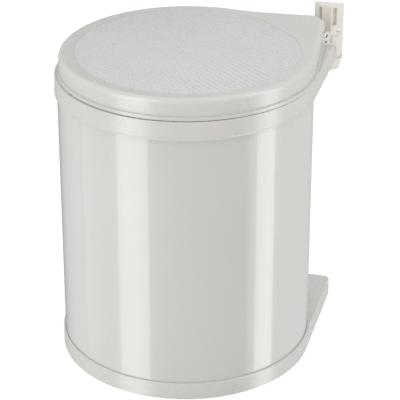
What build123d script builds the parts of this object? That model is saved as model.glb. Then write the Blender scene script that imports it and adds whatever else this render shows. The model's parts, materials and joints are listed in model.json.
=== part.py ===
"""Built-in swing-out waste bin for a kitchen base cabinet, in millimetres.

The origin is on the axis of the round bin at floor level, with +Z up.
+Y points at the cabinet side wall that carries the bracket, +X at the cabinet door.
The lid, top ring and base share one plan: a circle with a square corner, whose two
straight sides run along X and Y. The bin swings about an upright pin in that corner.
"""
import os
from math import acos, atan2, cos, degrees, radians, sin, sqrt

from build123d import *

# Shell
shell_diameter = 265.0
shell_wall = 0.8
seat_clearance = 0.3

# Heights above the floor
base_height = 18.5
base_floor_low = 2.5
base_floor = 2.5
ring_low = 294.0
ring_height = 19.5
lid_gap = 0.7
lid_height = 21.3

# Overhang of the plastic rings beyond the steel shell
base_overhang = 2.1
base_edge = 1.0
ring_overhang = 2.75
ring_lip = 0.5
ring_lip_height = 1.8
ring_lip_chamfer = 0.4
ring_edge = 0.8
collar_wall = 2.0
collar_height = 11.0
foot_corner = 7.5
foot_plate = 2.5
foot_wall = 2.3

# Top ring
ring_plate = 2.4
ring_corner = 12.0
ledge_drop = 4.1
ledge_thickness = 2.4
ledge_width = 7.9

# Lid
lid_inset = 0.5
lid_shift = 2.2
lid_wall = 2.5
lid_edge_fillet = 5.5
lid_end_setback = 5.8
lid_end_width = 17.5
lid_end_fillet = 6.0
neck_slope = 0.1
neck_bend_radius = 90.0
bead_width = 2.1
bead_height = 3.5
disc_margin = 16.0
disc_clearance = 0.3
disc_recess = 0.4

# Swing axis, wall and bracket
pivot_inset = 13.75
pivot_to_wall = 23.5
bracket_width = 31.5
bracket_depth = 12.5
bracket_nose = 8.8
bracket_side = 1.1
bracket_rise = 34.0
bracket_tail = 6.0
bracket_taper = 3.2
bracket_taper_height = 14.0
bracket_edge = 0.6
groove_height = 4.4
groove_depth = 1.6
groove_drop = 5.6
slot_width = 5.5
slot_height = 20.0
slot_depth = 3.5
slot_from_nose = 4.6
slot_top_margin = 3.0
screw_hole_radius = 1.8
screw_hole_spacing = 22.4
screw_hole_drop = 30.0
rib_pitch = 2.4
rib_count = 8
rib_width = 1.1
rib_depth = 0.5
rib_span = 5.0
notch_length = 6.0
notch_width = 1.3
notch_turn = 28.0
notch_drop = 4.6
notch_depth = 0.7
lug_radius = 9.0
upper_lug_height = 9.0
lower_lug_height = 13.6

# Swing pin and bushes
pin_radius = 3.0
running_fit = 0.05
pin_head_radius = 5.0
pin_head_height = 1.8
pin_tail = 2.2
clip_radius = 5.5
clip_thickness = 0.8
clip_groove = 0.6
bush_wall = 2.0
bush_length = 4.2
flange_radius = 8.0
flange_thickness = 1.1
axial_play = 0.3
eye_height = 8.6
sweep_clearance = 18.0

# Lid hinge, lift lever and cam
hinge_setback = 11.0
hinge_rise = 11.5
hinge_pin_radius = 2.0
ear_inner = 14.5
ear_thickness = 4.5
ear_radius = 5.0
knuckle_radius = 4.5
knuckle_thickness = 4.5
stub_recess = 1.6
ear_hole_drop = 6.4
ear_hole_radius = 1.3
side_play = 0.3
lever_length = 7.5
lever_width = 6.0
lever_thickness = 5.0
lever_nose_radius = 3.0
lever_foot_length = 22.0
lever_foot_thickness = 3.0
swing_range = 95.0
lid_range = 60.0
lever_foot_width = 8.0
lever_pad = 3.0
lever_screw_places = (8.0, 15.5)
neck_opening = 5.5
neck_rim_rise = 6.2
cam_play = 1.2
cam_height = 6.5
cam_bore_play = 0.4
cam_lobe = 45.0

# Bucket and bail
bucket_wall = 1.8
bucket_fit = 0.6
bucket_draft = 8.0
bucket_floor_gap = 4.0
bucket_rim_width = 7.2
bucket_rim_height = 3.0
bail_offset = 2.5
bail_wire = 2.0
bail_height = 4.8
bail_ear_width = 12.0
bail_end = 1.5
bail_headings = (-45, 135)
bail_ear_wall = 2.4
grip_wall = 2.0
grip_sweep = 36.0

# Small fixings
screw_shank = 1.5
screw_head = 2.8
screw_head_height = 1.6
screw_bite = 1.3
ring_screw_angles = (110, 200, 250, 340)
base_screw_angles = (110, 200, 250, 340)
buffer_radius = 1.5
buffer_depth = 1.2
buffer_headings = (150, 225, 300)
foot_bore_radius = 5.0
foot_bore_depth = 12.0
foot_bush_wall = 1.5
foot_boss_wall = 2.5

shell_radius = shell_diameter / 2
ring_radius = shell_radius + ring_overhang
ring_wall_radius = ring_radius - ring_lip
base_radius = shell_radius + base_overhang
lid_radius = shell_radius - lid_inset
disc_radius = lid_radius - disc_margin
ring_top = ring_low + ring_height
lid_low = ring_top + lid_gap
lid_top = lid_low + lid_height
pivot_x = ring_radius - pivot_inset
pivot_y = ring_radius - pivot_inset
pivot_reach = sqrt(pivot_x**2 + pivot_y**2)
wall_distance = pivot_y + pivot_to_wall
hinge_reach = pivot_reach - hinge_setback
hinge_z = ring_top + hinge_rise
seat_inner = shell_radius - shell_wall - seat_clearance
seat_outer = shell_radius + seat_clearance
eye_low = ring_low
eye_top = ring_low + eye_height
upper_lug_low = eye_top + flange_thickness + axial_play
upper_lug_top = upper_lug_low + upper_lug_height
lower_lug_top = eye_low - flange_thickness - axial_play
lower_lug_low = lower_lug_top - lower_lug_height
bracket_top = upper_lug_top + bracket_rise
bracket_low = lower_lug_low - bracket_tail
bush_radius = pin_radius + running_fit + bush_wall
ledge_top = ring_top - ledge_drop
ring_screw_z = ledge_top - ledge_thickness - screw_head - seat_clearance
base_screw_z = base_floor_low + base_floor + collar_height / 2
collar_inner = seat_inner - collar_wall
bucket_hole_radius = collar_inner - ledge_width
bail_radius = bucket_hole_radius + bail_offset
screw_seat = sqrt(collar_inner**2 - screw_head**2)
buffer_reach = collar_inner + seat_clearance + buffer_radius
lid_centre = lid_shift / sqrt(2)
lid_end_reach = pivot_reach - lid_end_setback
neck_start = lid_shift + disc_radius + disc_clearance
neck_rise = neck_slope * (lid_end_reach - neck_start)
# heading of the points where the lid's sides leave its circle towards the corners of its end
end_along = lid_end_reach - lid_shift
lid_turn = radians(45) - atan2(lid_end_width / 2, end_along)
lid_turn -= acos(lid_radius / sqrt(end_along**2 + (lid_end_width / 2) ** 2))

# Plane whose X runs out along the diagonal from the bin's axis to the corner, with Y up
diagonal = Plane(origin=(0, 0, 0), x_dir=(1, 1, 0), z_dir=(1, -1, 0))
pivot_plane = Plane(origin=(pivot_x, pivot_y, 0), x_dir=(1, 1, 0), z_dir=(0, 0, 1))

os.makedirs("parts", exist_ok=True)


def finish(piece, name):
    """Label a finished piece and write its file."""
    piece.part.label = name
    export_step(piece.part, f"parts/{name}.step")


def teardrop(radius, corner):
    """Circle with a rounded square corner at +X +Y, drawn in the open sketch."""
    Circle(radius)
    Rectangle(radius, radius, align=(Align.MIN, Align.MIN))
    tip = vertices().group_by(Axis.X)[-1].sort_by(Axis.Y)[-1]
    fillet(tip, corner)


def lid_outline(inset, corner):
    """Lid plan, drawn in the open sketch: a circle with two tapering sides that end in a blunt neck."""
    radius = lid_radius - inset
    near, far = radius * cos(lid_turn), radius * sin(lid_turn)
    side = ((lid_end_reach - inset) * sqrt(2) - 2 * lid_centre - near - far) / (cos(lid_turn) - sin(lid_turn))
    end_near, end_far = near - side * sin(lid_turn), far + side * cos(lid_turn)
    with Locations((lid_centre, lid_centre)):
        Circle(radius)
        Polygon((0, 0), (near, far), (end_near, end_far), (end_far, end_near), (far, near), align=None)
    ends = vertices().sort_by(Axis((0, 0, 0), (1, 1, 0)))[-2:]
    fillet(ends, corner)


def lid_solid(inset, corner, edge):
    """Solid lid form set in by this much: level over the disc, rising over the neck, with a round upper edge."""
    with BuildPart() as form:
        with BuildSketch(Plane.XY.offset(lid_low)):
            lid_outline(inset, corner)
        extrude(amount=lid_height + neck_rise)
        with BuildSketch(diagonal.offset(-lid_radius - lid_wall)):
            Polygon(
                (-2 * lid_radius, lid_top - inset),
                (neck_start, lid_top - inset),
                (lid_end_reach, lid_top - inset + neck_rise),
                (lid_end_reach, lid_top + 2 * neck_rise),
                (-2 * lid_radius, lid_top + 2 * neck_rise),
                align=None,
            )
            bend = vertices().sort_by_distance((neck_start, lid_top - inset))[0]
            fillet(bend, neck_bend_radius)
        extrude(amount=2 * (lid_radius + lid_wall), mode=Mode.SUBTRACT)
        # all edges of the top faces, without the two across the neck where they meet
        bend_centre = Vector(neck_start / sqrt(2), neck_start / sqrt(2), lid_top - inset)
        tops = faces().filter_by(lambda face: face.normal_at().Z > 0.9)
        rim = tops.edges().filter_by(lambda side: (side.center() - bend_centre).length > lid_wall + ring_height)
        fillet(rim, edge)
    return form


def radial_plane(height, heading, radius):
    """Plane at this radius that faces straight away from the bin's axis."""
    way = (cos(radians(heading)), sin(radians(heading)), 0)
    return Plane(origin=(radius * way[0], radius * way[1], height), x_dir=(0, 0, 1), z_dir=way)


# Steel shell, an open tube with holes for the screws
with BuildPart() as outer_shell:
    shell_low = base_floor_low + base_floor
    shell_high = ring_top - ring_plate
    with BuildSketch(Plane.XY.offset(shell_low)):
        Circle(shell_radius)
        Circle(shell_radius - shell_wall, mode=Mode.SUBTRACT)
    extrude(amount=shell_high - shell_low)
    for height, headings in ((ring_screw_z, ring_screw_angles), (base_screw_z, base_screw_angles)):
        for heading in headings:
            with BuildSketch(radial_plane(height, heading, seat_inner)):
                Circle(screw_shank)
            extrude(amount=seat_outer - seat_inner, mode=Mode.SUBTRACT)
finish(outer_shell, "outer_shell")


# Base tray with its foot, the floor of the bin
with BuildPart() as base_tray:
    with BuildSketch():
        teardrop(base_radius, foot_corner)
    extrude(amount=base_height)
    fillet(faces().sort_by(Axis.Z)[-1].edges(), base_edge)
    # room for the shell above the floor
    with BuildSketch(Plane.XY.offset(base_floor_low + base_floor)):
        Circle(seat_outer)
    extrude(amount=base_height, mode=Mode.SUBTRACT)
    # hollow underside, left with an outer rim to stand on
    with BuildSketch():
        teardrop(base_radius - foot_wall, foot_corner - foot_wall)
    extrude(amount=base_floor_low, mode=Mode.SUBTRACT)
    with BuildSketch():
        teardrop(base_radius - foot_wall, foot_corner - foot_wall)
        Circle(base_radius, mode=Mode.SUBTRACT)
    extrude(amount=base_height - foot_plate, mode=Mode.SUBTRACT)
    # collar inside the shell
    with BuildSketch(Plane.XY.offset(base_floor_low + base_floor)):
        Circle(seat_inner)
        Circle(collar_inner, mode=Mode.SUBTRACT)
    extrude(amount=collar_height)
    # boss for the floor pivot
    foot_bush_radius = foot_bore_radius + foot_bush_wall
    with BuildSketch():
        with Locations((pivot_x, pivot_y)):
            Circle(foot_bush_radius + foot_boss_wall)
    extrude(amount=base_height - foot_plate)
    with BuildSketch():
        with Locations((pivot_x, pivot_y)):
            Circle(foot_bush_radius)
    extrude(amount=foot_bore_depth, mode=Mode.SUBTRACT)
    # radial pilot holes for the screws
    for heading in base_screw_angles:
        with BuildSketch(radial_plane(base_screw_z, heading, screw_seat)):
            Circle(screw_shank)
        extrude(amount=seat_outer + screw_bite - screw_seat, mode=Mode.SUBTRACT)
finish(base_tray, "base_tray")


# Top ring with the arm that carries both hinges
with BuildPart() as top_ring:
    with BuildSketch(Plane.XY.offset(ring_low)):
        teardrop(ring_radius, ring_corner)
    extrude(amount=ring_lip_height)
    chamfer(faces().sort_by(Axis.Z)[-1].edges(), ring_lip_chamfer)
    with BuildSketch(Plane.XY.offset(ring_low)):
        teardrop(ring_wall_radius, ring_corner - ring_lip)
    extrude(amount=ring_height)
    fillet(faces().sort_by(Axis.Z)[-1].edges(), ring_edge)
    # channel and space inside the outer wall, up to the top plate
    with BuildSketch(Plane.XY.offset(ring_low)):
        Circle(seat_outer)
    extrude(amount=ring_height - ring_plate, mode=Mode.SUBTRACT)
    # hollow arm, open below
    arm_wall = ring_radius - seat_outer
    with BuildSketch(Plane.XY.offset(ring_low)):
        teardrop(ring_radius - arm_wall, ring_corner - arm_wall)
        Circle(ring_radius, mode=Mode.SUBTRACT)
    extrude(amount=ring_height - ring_plate, mode=Mode.SUBTRACT)
    # mouth for the bucket
    with BuildSketch(Plane.XY.offset(ring_top - ring_plate)):
        Circle(collar_inner)
    extrude(amount=ring_plate, mode=Mode.SUBTRACT)
    # collar inside the shell, with the ledge for the bucket's rim
    with BuildSketch(Plane.XY.offset(ring_top - ring_plate - collar_height)):
        Circle(seat_inner)
        Circle(collar_inner, mode=Mode.SUBTRACT)
    extrude(amount=collar_height)
    with BuildSketch(Plane.XY.offset(ledge_top - ledge_thickness)):
        Circle(seat_inner)
        Circle(bucket_hole_radius, mode=Mode.SUBTRACT)
    extrude(amount=ledge_thickness)
    # the arm's upper part stays clear of the bracket as it swings round the pin
    with BuildSketch(pivot_plane.offset(eye_top)):
        Circle(sweep_clearance)
    extrude(amount=ring_top - eye_top, mode=Mode.SUBTRACT)
    # eye for the swing pin
    with BuildSketch(Plane.XY.offset(eye_low)):
        teardrop(ring_wall_radius, ring_corner - ring_lip)
        with Locations((pivot_x, pivot_y)):
            Circle(sweep_clearance, mode=Mode.INTERSECT)
    extrude(amount=eye_height)
    with BuildSketch(Plane.XY.offset(eye_low)):
        with Locations((pivot_x, pivot_y)):
            Circle(bush_radius)
    extrude(amount=eye_height, mode=Mode.SUBTRACT)
    # ears of the lid's hinge, with posts down to the arm's plate
    for way in (-1, 1):
        ear_plane = diagonal.offset(way * ear_inner)
        with BuildSketch(ear_plane):
            with Locations((hinge_reach, hinge_z)):
                Circle(ear_radius)
            with Locations((hinge_reach - ear_radius, ring_top)):
                Rectangle(2 * ear_radius, hinge_rise, align=(Align.MIN, Align.MIN))
            with Locations((hinge_reach, hinge_z)):
                Circle(hinge_pin_radius, mode=Mode.SUBTRACT)
            with Locations((hinge_reach, hinge_z - ear_hole_drop)):
                Circle(ear_hole_radius, mode=Mode.SUBTRACT)
        extrude(amount=way * ear_thickness)
    # pilot holes for the screws
    for heading in ring_screw_angles:
        with BuildSketch(radial_plane(ring_screw_z, heading, screw_seat)):
            Circle(screw_shank)
        extrude(amount=seat_outer + screw_bite - screw_seat, mode=Mode.SUBTRACT)
    # sockets for the lid's buffers
    with BuildSketch(Plane.XY.offset(ring_top)):
        for heading in buffer_headings:
            with PolarLocations(buffer_reach, 1, start_angle=heading):
                Circle(buffer_radius)
    extrude(amount=-buffer_depth, mode=Mode.SUBTRACT)
finish(top_ring, "top_ring")


# Wall bracket: an upright block with slanted flanks, with two lugs for the pin
with BuildPart() as wall_bracket:
    block_front = wall_distance - bracket_depth
    half = bracket_width / 2
    nose = bracket_nose / 2
    flank = atan2(bracket_depth - bracket_side, half - nose)
    flank_length = sqrt((bracket_depth - bracket_side) ** 2 + (half - nose) ** 2)
    with BuildSketch(Plane.XY.offset(bracket_low)):
        Polygon(
            (pivot_x - half, wall_distance),
            (pivot_x - half, wall_distance - bracket_side),
            (pivot_x - nose, block_front),
            (pivot_x + nose, block_front),
            (pivot_x + half, wall_distance - bracket_side),
            (pivot_x + half, wall_distance),
            align=None,
        )
    extrude(amount=bracket_top - bracket_low)
    nose_edges = edges().filter_by(Axis.Z).group_by(Axis.Y)[0]
    top_edges = faces().sort_by(Axis.Z)[-1].edges().sort_by(Axis.Y)[:-1]
    fillet(nose_edges + top_edges, bracket_edge)
    # outline seen from the front, narrower at the lower end
    wall_plane = Plane(origin=(pivot_x, wall_distance, 0), x_dir=(1, 0, 0), z_dir=(0, -1, 0))
    with BuildSketch(wall_plane):
        Polygon(
            (-half, bracket_top),
            (-half, bracket_low + bracket_taper_height),
            (bracket_taper - half, bracket_low),
            (half - bracket_taper, bracket_low),
            (half, bracket_low + bracket_taper_height),
            (half, bracket_top),
            align=None,
        )
    extrude(amount=bracket_depth, mode=Mode.INTERSECT)

    def flank_plane(way):
        """Plane of one slanted flank, from the edge of the nose, with X level towards +X and Y up."""
        return Plane(
            origin=(pivot_x + way * nose, block_front, 0),
            x_dir=(cos(flank), way * sin(flank), 0),
            z_dir=(way * sin(flank), -cos(flank), 0),
        )

    # groove across both flanks below the arm
    for way in (-1, 1):
        with BuildSketch(flank_plane(way)):
            with Locations((way * flank_length / 2, lower_lug_top - groove_drop)):
                Rectangle(flank_length, groove_height)
        extrude(amount=-groove_depth, mode=Mode.SUBTRACT)
    # room for the arm's eye, which turns between the lugs
    with BuildSketch(pivot_plane.offset(lower_lug_top)):
        Circle(sweep_clearance)
    extrude(amount=upper_lug_low - lower_lug_top, mode=Mode.SUBTRACT)
    # lugs above and below the arm's eye
    for low, height in ((upper_lug_low, upper_lug_height), (lower_lug_low, lower_lug_height)):
        with BuildSketch(Plane.XY.offset(low)):
            with Locations((pivot_x, pivot_y)):
                Circle(lug_radius)
                Rectangle(2 * lug_radius, wall_distance - pivot_y, align=(Align.CENTER, Align.MIN))
        extrude(amount=height)
    with BuildSketch(Plane.XY.offset(bracket_low)):
        with Locations((pivot_x, pivot_y)):
            Circle(pin_radius + running_fit)
    extrude(amount=upper_lug_top - bracket_low, mode=Mode.SUBTRACT)
    # one slot pocket and one short slanted notch in each flank
    slot_centre = bracket_top - slot_top_margin - slot_height / 2
    hole_height = bracket_top - screw_hole_drop
    hole_from_nose = (screw_hole_spacing / 2 - nose) / cos(flank)
    for way in (-1, 1):
        with BuildSketch(flank_plane(way)):
            with Locations((way * slot_from_nose, slot_centre)):
                RectangleRounded(slot_width, slot_height, slot_width / 4)
        extrude(amount=-slot_depth, mode=Mode.SUBTRACT)
        with BuildSketch(flank_plane(way)):
            with Locations((way * hole_from_nose, hole_height - notch_drop)):
                Rectangle(notch_length, notch_width, rotation=way * notch_turn)
        extrude(amount=-notch_depth, mode=Mode.SUBTRACT)
    # fine ribs behind the slot of the left flank
    with BuildSketch(flank_plane(-1)):
        with Locations((-slot_from_nose - slot_width / 2 - rib_span, slot_centre)):
            with GridLocations(0, rib_pitch, 1, rib_count):
                Rectangle(2 * rib_span - slot_width / 2, rib_width)
    extrude(amount=-rib_depth, mode=Mode.SUBTRACT)
    # screw holes through to the wall
    with BuildSketch(wall_plane):
        with Locations((0, hole_height)):
            with GridLocations(screw_hole_spacing, 0, 2, 1):
                Circle(screw_hole_radius)
    extrude(amount=bracket_depth, mode=Mode.SUBTRACT)
finish(wall_bracket, "wall_bracket")


# Swing pin, with a head above the upper lug and a groove for its clip below the lower one
with BuildPart() as swing_pin:
    pin_low = lower_lug_low - axial_play - clip_thickness - pin_tail
    with BuildSketch(pivot_plane.offset(pin_low)):
        Circle(pin_radius)
    extrude(amount=upper_lug_top - pin_low)
    with BuildSketch(pivot_plane.offset(upper_lug_top)):
        Circle(pin_head_radius)
    extrude(amount=pin_head_height)
    with BuildSketch(pivot_plane.offset(lower_lug_low - axial_play - clip_thickness)):
        Circle(pin_radius)
        Circle(pin_radius - clip_groove, mode=Mode.SUBTRACT)
    extrude(amount=clip_thickness, mode=Mode.SUBTRACT)
finish(swing_pin, "swing_pin")


with BuildPart() as pin_clip:
    with BuildSketch(pivot_plane.offset(lower_lug_low - axial_play - clip_thickness)):
        Circle(clip_radius)
        Circle(pin_radius - clip_groove + running_fit, mode=Mode.SUBTRACT)
        with Locations((clip_radius, 0)):
            Rectangle(2 * clip_radius, pin_radius, mode=Mode.SUBTRACT)
    extrude(amount=clip_thickness)
finish(pin_clip, "pin_clip")


# Flanged bushes in the arm's eye
def flanged_bush(mouth, way):
    """Bush that goes into the eye from the height of its mouth, with its flange outside."""
    with BuildPart() as bush:
        with BuildSketch(pivot_plane.offset(mouth)):
            Circle(bush_radius)
            Circle(pin_radius + running_fit, mode=Mode.SUBTRACT)
        extrude(amount=-way * bush_length)
        with BuildSketch(pivot_plane.offset(mouth)):
            Circle(flange_radius)
            Circle(pin_radius + running_fit, mode=Mode.SUBTRACT)
        extrude(amount=way * flange_thickness)
    return bush


upper_bush = flanged_bush(eye_top, 1)
finish(upper_bush, "upper_bush")
lower_bush = flanged_bush(eye_low, -1)
finish(lower_bush, "lower_bush")


# Fixed cam on the upper lug: its wall moves away from the pin as the bin turns round it
with BuildPart() as lift_cam:
    cam_steps = 19
    rest_heading = 225.0
    cam_clearance = lever_nose_radius + cam_play

    def cam_point(turn):
        """Point of the cam's wall that faces the lever's nose once the bin has swung by this many degrees."""
        tilt = radians(turn * lid_range / swing_range)
        radius = hinge_setback + lever_length * sin(tilt) - cam_clearance
        heading = radians(rest_heading + turn)
        return (pivot_x + radius * cos(heading), pivot_y + radius * sin(heading))

    with BuildSketch(Plane.XY.offset(upper_lug_top)):
        with BuildLine():
            rise = Spline(*[cam_point(swing_range * step / cam_steps) for step in range(-2, cam_steps + 2)])
            start = rise @ 0 - Vector(pivot_x, pivot_y)
            base_heading = degrees(atan2(start.Y, start.X)) % 360
            lobe_end = rest_heading + swing_range + cam_lobe
            back = CenterArc((pivot_x, pivot_y), start.length, lobe_end, base_heading + 360 - lobe_end)
            Line(rise @ 1, back @ 0)
        make_face()
        with Locations((pivot_x, pivot_y)):
            Circle(pin_head_radius + cam_bore_play, mode=Mode.SUBTRACT)
    extrude(amount=cam_height)
finish(lift_cam, "lift_cam")


# Pad for the lever's foot and the plates of the knuckles, cut to the lid's form
lid_form = lid_solid(0, lid_end_fillet, lid_edge_fillet)
foot_top = lid_top - lid_wall - lever_pad
with BuildPart() as neck_inside:
    with BuildSketch(Plane(origin=(hinge_reach / sqrt(2), hinge_reach / sqrt(2), foot_top), x_dir=(1, 1, 0))):
        with Locations((lever_thickness / 2, 0)):
            Rectangle(lever_foot_length, lever_foot_width, align=(Align.MAX, Align.CENTER))
    extrude(amount=lid_height)
    for way in (-1, 1):
        with BuildSketch(diagonal.offset(way * (ear_inner - side_play))):
            with Locations((hinge_reach, hinge_z)):
                Rectangle(knuckle_radius, lid_height, align=(Align.MAX, Align.MIN))
        extrude(amount=-way * knuckle_thickness)
    add(lid_form.part, mode=Mode.INTERSECT)


# Lid with rounded upper edge, a bead round its lower edge and knuckles under its neck
with BuildPart() as lid_cover:
    add(lid_form.part)
    with BuildSketch(Plane.XY.offset(lid_low)):
        lid_outline(-bead_width, lid_end_fillet)
    extrude(amount=bead_height)
    add(lid_solid(lid_wall, lid_end_fillet - lid_wall, lid_edge_fillet - lid_wall).part, mode=Mode.SUBTRACT)
    # shallow recess for the patterned disc
    with BuildSketch(Plane.XY.offset(lid_top)):
        with Locations((lid_centre, lid_centre)):
            Circle(disc_radius)
    extrude(amount=-disc_recess, mode=Mode.SUBTRACT)
    # open end over the hinge
    with BuildSketch(diagonal.offset(-lid_radius / 2)):
        with Locations((hinge_reach - neck_opening, ring_top)):
            Rectangle(2 * neck_opening + hinge_setback, hinge_rise + neck_rim_rise, align=(Align.MIN, Align.MIN))
    extrude(amount=lid_radius, mode=Mode.SUBTRACT)
    add(neck_inside.part)
    for place in lever_screw_places:
        with BuildSketch(Plane(origin=((hinge_reach - place) / sqrt(2), (hinge_reach - place) / sqrt(2), foot_top))):
            Circle(screw_shank)
        extrude(amount=lever_pad + screw_bite, mode=Mode.SUBTRACT)
    # knuckles on the stub pins
    for way in (-1, 1):
        with BuildSketch(diagonal.offset(way * (ear_inner - side_play))):
            with Locations((hinge_reach, hinge_z)):
                Circle(knuckle_radius)
        extrude(amount=-way * knuckle_thickness)
        with BuildSketch(diagonal.offset(way * (ear_inner - side_play))):
            with Locations((hinge_reach, hinge_z)):
                Circle(hinge_pin_radius + running_fit)
        extrude(amount=-way * knuckle_thickness, mode=Mode.SUBTRACT)
finish(lid_cover, "lid_cover")


# Stub pins of the lid's hinge
with BuildPart() as lid_pins:
    for way in (-1, 1):
        with BuildSketch(diagonal.offset(way * (ear_inner + ear_thickness - stub_recess))):
            with Locations((hinge_reach, hinge_z)):
                Circle(hinge_pin_radius)
        extrude(amount=-way * (ear_thickness - stub_recess + side_play + knuckle_thickness))
finish(lid_pins, "lid_pins")


# Lever under the lid's neck, whose round nose the cam pushes
with BuildPart() as lift_lever:
    nose_z = hinge_z - lever_length
    with BuildSketch(diagonal.offset(-lever_width / 2)):
        with Locations((hinge_reach, nose_z)):
            Rectangle(lever_thickness, foot_top - nose_z, align=(Align.CENTER, Align.MIN))
    extrude(amount=lever_width)
    with BuildSketch(diagonal.offset(-lever_foot_width / 2)):
        with Locations((hinge_reach + lever_thickness / 2, foot_top)):
            Rectangle(lever_foot_length, lever_foot_thickness, align=(Align.MAX, Align.MAX))
    extrude(amount=lever_foot_width)
    with Locations((hinge_reach / sqrt(2), hinge_reach / sqrt(2), nose_z)):
        Sphere(lever_nose_radius)
    for place in lever_screw_places:
        with BuildSketch(Plane(origin=((hinge_reach - place) / sqrt(2), (hinge_reach - place) / sqrt(2), foot_top),
                               z_dir=(0, 0, -1))):
            Circle(screw_shank)
        extrude(amount=lever_foot_thickness, mode=Mode.SUBTRACT)
finish(lift_lever, "lift_lever")


# Screws: a round head and a plain shank, from under the head's seat outwards
def screw_solids(seats, length):
    """Screws as separate solids, each with its head's seat on one of these planes."""
    with BuildPart() as screws:
        for seat in seats:
            with BuildSketch(seat):
                Circle(screw_shank - running_fit)
            extrude(amount=length)
            with BuildSketch(seat):
                Circle(screw_head)
            extrude(amount=-screw_head_height)
    return screws


radial_length = seat_outer + screw_bite - screw_seat - side_play
ring_screws = screw_solids(
    [radial_plane(ring_screw_z, heading, screw_seat) for heading in ring_screw_angles], radial_length
)
finish(ring_screws, "ring_screws")
base_screws = screw_solids(
    [radial_plane(base_screw_z, heading, screw_seat) for heading in base_screw_angles], radial_length
)
finish(base_screws, "base_screws")
lever_screws = screw_solids(
    [
        Plane(origin=((hinge_reach - place) / sqrt(2), (hinge_reach - place) / sqrt(2), foot_top - lever_foot_thickness),
              z_dir=(0, 0, 1))
        for place in lever_screw_places
    ],
    lever_foot_thickness + lever_pad + screw_bite - side_play,
)
finish(lever_screws, "lever_screws")


# Soft buffers that the closed lid rests on
with BuildPart() as lid_buffers:
    with BuildSketch(Plane.XY.offset(ring_top - buffer_depth)):
        for heading in buffer_headings:
            with PolarLocations(buffer_reach, 1, start_angle=heading):
                Circle(buffer_radius)
    extrude(amount=buffer_depth + lid_gap - seat_clearance)
finish(lid_buffers, "lid_buffers")


# Bearing bush for the pivot on the cabinet floor
with BuildPart() as foot_bush:
    with BuildSketch(pivot_plane):
        Circle(foot_bush_radius)
        Circle(foot_bore_radius, mode=Mode.SUBTRACT)
    extrude(amount=foot_bore_depth)
finish(foot_bush, "foot_bush")


# Bucket with a tapered wall, a rim on the ring's ledge and two ears for its bail
with BuildPart() as inner_bucket:
    bucket_low = base_floor_low + base_floor + bucket_floor_gap
    bucket_top_radius = bucket_hole_radius - bucket_fit
    bucket_low_radius = bucket_top_radius - bucket_draft
    rim_top = ledge_top + bucket_rim_height
    with BuildSketch(Plane.XZ):
        Polygon(
            (0, bucket_low),
            (bucket_low_radius, bucket_low),
            (bucket_top_radius, ledge_top),
            (bucket_hole_radius + bucket_rim_width, ledge_top),
            (bucket_hole_radius + bucket_rim_width, rim_top),
            (bucket_top_radius - bucket_wall, rim_top),
            (bucket_low_radius - bucket_wall, bucket_low + bucket_wall),
            (0, bucket_low + bucket_wall),
            align=None,
        )
    revolve(axis=Axis.Z)
    ear_radius_outer = bail_radius - bail_wire - side_play
    for heading in bail_headings:
        ear = radial_plane(rim_top, heading, ear_radius_outer - bail_ear_wall)
        with BuildSketch(ear):
            with Locations((bail_height, 0)):
                Circle(bail_ear_width / 2)
            Rectangle(bail_height, bail_ear_width, align=(Align.MIN, Align.CENTER))
            with Locations((bail_height, 0)):
                Circle(bail_wire + running_fit, mode=Mode.SUBTRACT)
        extrude(amount=bail_ear_wall)
finish(inner_bucket, "inner_bucket")


def upright_plane(heading):
    """Plane through the bin's axis: X runs out along the heading and Y up."""
    turn = radians(heading)
    return Plane(origin=(0, 0, 0), x_dir=(cos(turn), sin(turn), 0), z_dir=(sin(turn), -cos(turn), 0))


# Wire bail folded down over the rim, on the hinge's side, with its ends bent into the ears
with BuildPart() as bucket_handle:
    bail_z = rim_top + bail_height
    with BuildSketch(upright_plane(bail_headings[0])):
        with Locations((bail_radius, bail_z)):
            Circle(bail_wire)
    revolve(axis=Axis.Z, revolution_arc=180)
    for heading in bail_headings:
        with BuildSketch(radial_plane(bail_z, heading, ear_radius_outer - bail_ear_wall - bail_end)):
            Circle(bail_wire)
        extrude(amount=bail_radius - ear_radius_outer + bail_ear_wall + bail_end)
        turn = radians(heading)
        with Locations((bail_radius * cos(turn), bail_radius * sin(turn), bail_z)):
            Sphere(bail_wire)
finish(bucket_handle, "bucket_handle")


with BuildPart() as handle_grip:
    with BuildSketch(upright_plane(45 - grip_sweep / 2)):
        with Locations((bail_radius, bail_z)):
            Circle(bail_wire + running_fit + grip_wall)
            Circle(bail_wire + running_fit, mode=Mode.SUBTRACT)
    revolve(axis=Axis.Z, revolution_arc=grip_sweep)
finish(handle_grip, "handle_grip")
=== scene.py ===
"""Looks of the built-in swing-out waste bin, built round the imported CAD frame, in metres."""
import json

import bpy
from math import cos, pi, radians, sin
from mathutils import Matrix, Vector


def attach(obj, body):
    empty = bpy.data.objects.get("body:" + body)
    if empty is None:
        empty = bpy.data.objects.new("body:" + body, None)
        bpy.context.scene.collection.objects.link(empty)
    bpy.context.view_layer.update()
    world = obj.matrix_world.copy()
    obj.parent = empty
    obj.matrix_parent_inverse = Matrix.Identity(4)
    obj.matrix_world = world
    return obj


PHOTO_WIDTH = 400

# Camera fitted to the photograph
CAMERA_AZIMUTH = 14.6
CAMERA_ELEVATION = 26.43
CAMERA_DISTANCE = 1.8755
CAMERA_FOCAL_PIXELS = 1761.4
CAMERA_TARGET_RIGHT = 0.01481
CAMERA_TARGET_HEIGHT = 0.16396
SENSOR_WIDTH = 36.0
CAMERA_CLIP_END = 50.0

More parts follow.
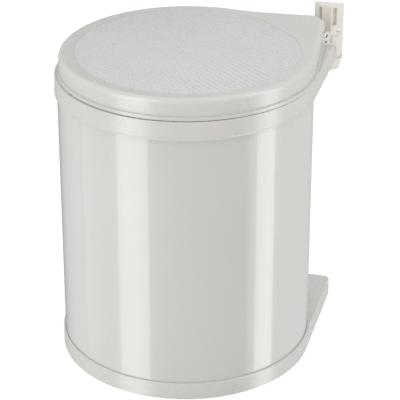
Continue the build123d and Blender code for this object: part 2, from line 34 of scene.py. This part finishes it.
# Lid disc, in the lid's recess
LID_CENTRE = 0.0015556
DISC_RADIUS = 0.1157
DISC_Z = 0.3351
DISC_STEPS = 192
DISC_BOTTOM = -0.0001
DISC_SIDE_TOP = 0.00015
DISC_TOP = 0.00025
DISC_CHAMFER = 0.0002
DISC_BORDER = 0.0012
DOT_RING_PITCH = 0.0041
DOT_SPACING = 0.0061
DOT_HEIGHT = 0.0004
DOT_SHOULDER_HEIGHT = DOT_HEIGHT * 0.75
DOT_SINK = 0.00002
DOT_LOW_RADIUS = 0.0017
DOT_HIGH_RADIUS = 0.0009
DOT_SIDES = 6

# Linear colours and depths of grain
BODY_COLOUR = (0.66, 0.648, 0.622)
DISC_COLOUR = (0.66, 0.66, 0.665)
BRACKET_COLOUR = (0.80, 0.775, 0.70)
BUCKET_COLOUR = (0.10, 0.105, 0.11)
ACETAL_COLOUR = (0.70, 0.70, 0.68)
RUBBER_COLOUR = (0.25, 0.25, 0.245)
SHELL_COLOUR = (0.62, 0.64, 0.605)
SHELL_LOW = (0.615, 0.634, 0.598)
SHELL_HIGH = (0.625, 0.646, 0.612)
ZINC_COLOUR = (0.55, 0.56, 0.58)
ZINC_LOW = (0.48, 0.49, 0.51)
ZINC_HIGH = (0.60, 0.61, 0.63)
COARSE_GRAIN = 0.00001
FINE_GRAIN = 0.000002

# Part of a noise's range over which colour and roughness change
NOISE_LOW = 0.3
NOISE_HIGH = 0.7

# Moulded plastic: spread of its colour and roughness
PLASTIC_SPREAD = 0.012
PLASTIC_SMOOTHER = 0.04
PLASTIC_ROUGHER = 0.05

# Studio
WHITE = (1, 1, 1, 1)
SQUARE = ((-1, -1), (1, -1), (1, 1), (-1, 1))
FLOOR_HALF = 6.0
FLOOR_COLOUR = (0.88, 0.88, 0.87)
FLOOR_GLOW = 0.3
WORLD_LIGHT = 0.95
CARD_TURN = 36.0
CARD_REACH = 2.6
CARD_WIDTH = 3.8
CARD_HEIGHT = 6.0
STRIP_HEIGHT = 0.7
STRIP_REACH = 1.9
STRIP_TALL = 5.4

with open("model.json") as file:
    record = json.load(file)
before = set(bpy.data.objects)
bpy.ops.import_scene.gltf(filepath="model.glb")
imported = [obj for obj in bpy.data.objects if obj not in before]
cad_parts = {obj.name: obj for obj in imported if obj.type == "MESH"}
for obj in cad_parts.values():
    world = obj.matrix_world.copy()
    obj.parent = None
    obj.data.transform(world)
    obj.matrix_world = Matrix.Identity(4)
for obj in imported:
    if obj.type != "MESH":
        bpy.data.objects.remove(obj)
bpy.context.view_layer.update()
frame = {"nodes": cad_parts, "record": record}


def material(name, colour, roughness, specular=0.5, coat=0.0, coat_roughness=0.1, metallic=0.0):
    """Principled material; returns the material, its node tree and its shader."""
    made = bpy.data.materials.new(name)
    made.use_nodes = True
    tree = made.node_tree
    shader = tree.nodes["Principled BSDF"]
    shader.inputs["Base Color"].default_value = (*colour, 1.0)
    shader.inputs["Roughness"].default_value = roughness
    shader.inputs["Specular IOR Level"].default_value = specular
    shader.inputs["Metallic"].default_value = metallic
    shader.inputs["Coat Weight"].default_value = coat
    shader.inputs["Coat Roughness"].default_value = coat_roughness
    return made, tree, shader


def object_coordinates(tree, scale):
    """Object coordinates times a scale on each axis."""
    source = tree.nodes.new("ShaderNodeTexCoord")
    mapping = tree.nodes.new("ShaderNodeMapping")
    mapping.inputs["Scale"].default_value = scale
    tree.links.new(source.outputs["Object"], mapping.inputs["Vector"])
    return mapping.outputs["Vector"]


def noise(tree, scale, detail=3.0, stretch=(1, 1, 1)):
    """Noise in object coordinates."""
    node = tree.nodes.new("ShaderNodeTexNoise")
    node.inputs["Scale"].default_value = scale
    node.inputs["Detail"].default_value = detail
    tree.links.new(object_coordinates(tree, stretch), node.inputs["Vector"])
    return node.outputs["Fac"]


def vary_colour(tree, shader, factor, low, high):
    """Base colour that runs from low to high with a factor."""
    ramp = tree.nodes.new("ShaderNodeValToRGB")
    ramp.color_ramp.elements[0].position = NOISE_LOW
    ramp.color_ramp.elements[1].position = NOISE_HIGH
    ramp.color_ramp.elements[0].color = (*low, 1.0)
    ramp.color_ramp.elements[1].color = (*high, 1.0)
    tree.links.new(factor, ramp.inputs["Fac"])
    tree.links.new(ramp.outputs["Color"], shader.inputs["Base Color"])


def vary_roughness(tree, shader, factor, low, high):
    """Roughness that runs from low to high with a factor."""
    span = tree.nodes.new("ShaderNodeMapRange")
    span.inputs["From Min"].default_value = NOISE_LOW
    span.inputs["From Max"].default_value = NOISE_HIGH
    span.inputs["To Min"].default_value = low
    span.inputs["To Max"].default_value = high
    tree.links.new(factor, span.inputs["Value"])
    tree.links.new(span.outputs["Result"], shader.inputs["Roughness"])


def add_bump(tree, shader, factor, depth):
    """Fine surface relief of this depth in metres."""
    bump = tree.nodes.new("ShaderNodeBump")
    bump.inputs["Strength"].default_value = 1.0
    bump.inputs["Distance"].default_value = depth
    tree.links.new(factor, bump.inputs["Height"])
    tree.links.new(bump.outputs["Normal"], shader.inputs["Normal"])


def moulded_plastic(name, colour, roughness, grain=900.0, depth=COARSE_GRAIN, specular=0.5):
    """Moulded plastic with faint cloudy colour and a fine grain."""
    made, tree, shader = material(name, colour, roughness, specular=specular)
    low = tuple(channel * (1 - PLASTIC_SPREAD) for channel in colour)
    high = tuple(channel * (1 + PLASTIC_SPREAD) for channel in colour)
    smooth, rough = roughness - PLASTIC_SMOOTHER, roughness + PLASTIC_ROUGHER
    vary_colour(tree, shader, noise(tree, scale=14.0, detail=4.0), low, high)
    vary_roughness(tree, shader, noise(tree, scale=60.0), smooth, rough)
    add_bump(tree, shader, noise(tree, scale=grain, detail=2.0), depth)
    return made


def paint(node, made):
    """Give every material slot of a CAD node this material."""
    item = frame["nodes"][node]
    if not item.material_slots:
        item.data.materials.append(made)
    for slot in item.material_slots:
        slot.material = made


body_plastic = moulded_plastic(
    "body_plastic_satin", BODY_COLOUR, roughness=0.26, depth=FINE_GRAIN, specular=0.9
)
disc_plastic = moulded_plastic("disc_plastic_satin", DISC_COLOUR, roughness=0.42, depth=FINE_GRAIN)
bracket_plastic = moulded_plastic("bracket_cream", BRACKET_COLOUR, roughness=0.35)
bucket_plastic = moulded_plastic("bucket_grey", BUCKET_COLOUR, roughness=0.5, grain=600.0)
acetal = moulded_plastic("acetal_white", ACETAL_COLOUR, roughness=0.3)
soft_rubber = moulded_plastic("buffer_rubber", RUBBER_COLOUR, roughness=0.75, grain=1500.0)

shell_coat, tree, shader = material(
    "shell_coating", SHELL_COLOUR, roughness=0.3, coat=1.0, coat_roughness=0.09
)
vary_colour(tree, shader, noise(tree, scale=9.0), SHELL_LOW, SHELL_HIGH)
vary_roughness(tree, shader, noise(tree, scale=40.0), low=0.28, high=0.32)
add_bump(tree, shader, noise(tree, scale=700.0, detail=2.0), FINE_GRAIN)

zinc, tree, shader = material("zinc_plate", ZINC_COLOUR, roughness=0.32, metallic=1.0)
vary_colour(tree, shader, noise(tree, scale=220.0, detail=4.0), ZINC_LOW, ZINC_HIGH)
add_bump(tree, shader, noise(tree, scale=1800.0, detail=2.0, stretch=(1, 1, 0.1)), COARSE_GRAIN)

SLOT_MATERIALS = {
    "coated_steel": shell_coat,
    "body_plastic": body_plastic,
    "bracket_plastic": bracket_plastic,
    "zinc_steel": zinc,
    "acetal": acetal,
    "soft_rubber": soft_rubber,
    "bucket_plastic": bucket_plastic,
}
for part in frame["record"]["subparts"]:
    paint(part["node"], SLOT_MATERIALS[part["material_slot"]])


def add_object(name, data):
    """New object in the scene from mesh, light or camera data."""
    item = bpy.data.objects.new(name, data)
    bpy.context.scene.collection.objects.link(item)
    return item


def lid_point(radius, turn, height):
    """Point at a radius and heading round the lid's centre."""
    return LID_CENTRE + radius * cos(turn), LID_CENTRE + radius * sin(turn), height


def add_ring_faces(faces, low, high, count):
    """Faces between two rings of points, which begin at low and high."""
    for step in range(count):
        after = (step + 1) % count
        faces.append((low + step, low + after, high + after, high + step))


def add_dot(points, faces, centre, turn):
    """Low dot: sides that slope up to a shoulder, then a shallow cone."""
    low = len(points)
    high = low + DOT_SIDES
    top = high + DOT_SIDES
    for reach, rise in ((DOT_LOW_RADIUS, -DOT_SINK), (DOT_HIGH_RADIUS, DOT_SHOULDER_HEIGHT)):
        for side in range(DOT_SIDES):
            angle = turn + 2 * pi * side / DOT_SIDES
            points.append(tuple(centre + Vector((reach * cos(angle), reach * sin(angle), rise))))
    points.append(tuple(centre + Vector((0, 0, DOT_HEIGHT))))
    add_ring_faces(faces, low, high, DOT_SIDES)
    faces.extend((high + side, high + (side + 1) % DOT_SIDES, top) for side in range(DOT_SIDES))
    faces.append(tuple(low + side for side in reversed(range(DOT_SIDES))))


def patterned_disc():
    """Thin disc in the lid's recess, covered with rings of low round dots."""
    points, faces = [], []
    for radius, height in (
        (DISC_RADIUS, DISC_Z + DISC_BOTTOM),
        (DISC_RADIUS, DISC_Z + DISC_SIDE_TOP),
        (DISC_RADIUS - DISC_CHAMFER, DISC_Z + DISC_TOP),
    ):
        for step in range(DISC_STEPS):
            points.append(lid_point(radius, 2 * pi * step / DISC_STEPS, height))
    add_ring_faces(faces, 0, DISC_STEPS, DISC_STEPS)
    add_ring_faces(faces, DISC_STEPS, 2 * DISC_STEPS, DISC_STEPS)
    faces.append(tuple(2 * DISC_STEPS + step for step in range(DISC_STEPS)))
    faces.append(tuple(reversed(range(DISC_STEPS))))
    dotted_radius = DISC_RADIUS - DISC_BORDER
    for ring in range(int(dotted_radius / DOT_RING_PITCH)):
        radius = dotted_radius - DOT_RING_PITCH * (ring + 0.5)
        count = round(2 * pi * radius / DOT_SPACING)
        for index in range(count):
            turn = 2 * pi * (index + 0.5 * (ring % 2)) / count
            centre = Vector(lid_point(radius, turn, DISC_Z + DISC_TOP))
            add_dot(points, faces, centre, turn)
    mesh = bpy.data.meshes.new("lid_disc")
    mesh.from_pydata(points, [], faces)
    mesh.validate()
    mesh.materials.append(disc_plastic)
    mesh.shade_smooth()
    return add_object("lid_disc", mesh)


lid_disc = patterned_disc()
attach(lid_disc, "lid")


def seen_directly(tree):
    """One for camera, glossy and transmission rays, zero for the others."""
    path = tree.nodes.new("ShaderNodeLightPath")
    directly = path.outputs["Is Camera Ray"]
    for ray in ("Is Glossy Ray", "Is Transmission Ray"):
        either = tree.nodes.new("ShaderNodeMath")
        either.operation = "MAXIMUM"
        tree.links.new(directly, either.inputs[0])
        tree.links.new(path.outputs[ray], either.inputs[1])
        directly = either.outputs["Value"]
    return directly


def flat_object(name, corners, made):
    """New object of one face in one material."""
    mesh = bpy.data.meshes.new(name)
    mesh.from_pydata(corners, [], [(0, 1, 2, 3)])
    mesh.materials.append(made)
    return add_object(name, mesh)


# Floor that glows where it is seen directly, so that it shows white
floor_made, tree, shader = material("pale_floor", FLOOR_COLOUR, roughness=0.8, specular=0.0)
strength = tree.nodes.new("ShaderNodeMath")
strength.operation = "MULTIPLY"
strength.inputs[1].default_value = FLOOR_GLOW
tree.links.new(seen_directly(tree), strength.inputs[0])
glow = tree.nodes.new("ShaderNodeEmission")
glow.inputs["Color"].default_value = WHITE
tree.links.new(strength.outputs["Value"], glow.inputs["Strength"])
both = tree.nodes.new("ShaderNodeAddShader")
tree.links.new(shader.outputs["BSDF"], both.inputs[0])
tree.links.new(glow.outputs["Emission"], both.inputs[1])
tree.links.new(both.outputs["Shader"], tree.nodes["Material Output"].inputs["Surface"])
floor_corners = [(x * FLOOR_HALF, y * FLOOR_HALF, 0) for x, y in SQUARE]
floor = flat_object("floor", floor_corners, floor_made)
floor.visible_glossy = False


# Grey cards round the object, seen in reflections alone
def grey_card(name, turn, width, near_light, far_light):
    """Upright card turned from straight behind the object, with its brightness at both ends."""
    made, tree, shader = material(name, (0.0, 0.0, 0.0), roughness=1.0, specular=0.0)
    split = tree.nodes.new("ShaderNodeSeparateXYZ")
    tree.links.new(object_coordinates(tree, (1, 1, 1)), split.inputs["Vector"])
    span = tree.nodes.new("ShaderNodeMapRange")
    tree.links.new(split.outputs["X"], span.inputs["Value"])
    span.inputs["From Min"].default_value = -width / 2
    span.inputs["From Max"].default_value = width / 2
    span.inputs["To Min"].default_value = near_light
    span.inputs["To Max"].default_value = far_light
    shader.inputs["Emission Color"].default_value = WHITE
    tree.links.new(span.outputs["Result"], shader.inputs["Emission Strength"])
    corners = [(x * width / 2, 0, y * CARD_HEIGHT / 2) for x, y in SQUARE]
    card = flat_object(name, corners, made)
    heading = radians(CAMERA_AZIMUTH + 90 + turn)
    card.location = (CARD_REACH * cos(heading), CARD_REACH * sin(heading), 0)
    card.rotation_euler = (0, 0, heading - pi / 2)
    card.visible_camera = False
    card.visible_diffuse = False
    card.visible_shadow = False


grey_card("left_card", turn=CARD_TURN, width=CARD_WIDTH, near_light=1.25, far_light=0.0)
grey_card("left_side_card", turn=97.0, width=2.0, near_light=1.5, far_light=1.5)
grey_card("right_card", turn=-CARD_TURN, width=CARD_WIDTH, near_light=0.45, far_light=1.0)
grey_card("front_card", turn=-163.5, width=4.6, near_light=0.1, far_light=1.0)

# Surroundings: white where seen directly, a little darker as a light
world = bpy.data.worlds.new("studio")
bpy.context.scene.world = world
world.use_nodes = True
tree = world.node_tree
tree.nodes.clear()
mix = tree.nodes.new("ShaderNodeMixShader")
tree.links.new(seen_directly(tree), mix.inputs["Fac"])
for index, strength in enumerate((WORLD_LIGHT, 1.0), start=1):
    background = tree.nodes.new("ShaderNodeBackground")
    background.inputs["Color"].default_value = WHITE
    background.inputs["Strength"].default_value = strength
    tree.links.new(background.outputs["Background"], mix.inputs[index])
output = tree.nodes.new("ShaderNodeOutputWorld")
tree.links.new(mix.outputs["Shader"], output.inputs["Surface"])

# Camera, from its right, up and back directions
azimuth, elevation = radians(CAMERA_AZIMUTH), radians(CAMERA_ELEVATION)
right = Vector((cos(azimuth), sin(azimuth), 0))
back = Vector((sin(azimuth) * cos(elevation), -cos(azimuth) * cos(elevation), sin(elevation)))
up = back.cross(right)
camera_data = bpy.data.cameras.new("camera")
camera = add_object("camera", camera_data)
camera_data.sensor_width = SENSOR_WIDTH
camera_data.lens = CAMERA_FOCAL_PIXELS / PHOTO_WIDTH * SENSOR_WIDTH
camera_data.clip_end = CAMERA_CLIP_END
target = right * CAMERA_TARGET_RIGHT + Vector((0, 0, CAMERA_TARGET_HEIGHT))
camera.matrix_world = Matrix((
    (right.x, up.x, back.x, target.x + back.x * CAMERA_DISTANCE),
    (right.y, up.y, back.y, target.y + back.y * CAMERA_DISTANCE),
    (right.z, up.z, back.z, target.z + back.z * CAMERA_DISTANCE),
    (0, 0, 0, 1),
))
bpy.context.scene.camera = camera


def area_light(name, turn, height, reach, width, tall, radiance, aim_height, in_reflections):
    """Soft light at a heading from the camera; it shows in reflections, or else lights surfaces."""
    data = bpy.data.lights.new(name, "AREA")
    data.shape = "RECTANGLE"
    data.size = width
    data.size_y = tall
    data.energy = radiance * pi * width * tall
    item = add_object(name, data)
    item.visible_camera = False
    item.visible_glossy = in_reflections
    item.visible_diffuse = not in_reflections
    heading = radians(CAMERA_AZIMUTH - 90 + turn)
    item.location = (reach * cos(heading), reach * sin(heading), height)
    aim = Vector((0, 0, aim_height)) - Vector(item.location)
    item.rotation_euler = aim.to_track_quat("-Z", "Y").to_euler()


for name, turn, width, radiance in (
    ("left_strip", -47.0, 0.979, 2.67),
    ("right_strip", 74.6, 0.67, 2.35),
):
    area_light(
        name, turn, STRIP_HEIGHT, STRIP_REACH, width, STRIP_TALL, radiance,
        aim_height=STRIP_HEIGHT, in_reflections=True,
    )
area_light(
    "top_soft", turn=10, height=2.4, reach=0.5, width=1.6, tall=1.6, radiance=0.3,
    aim_height=0.3, in_reflections=False,
)

bpy.context.scene.view_settings.view_transform = "Standard"
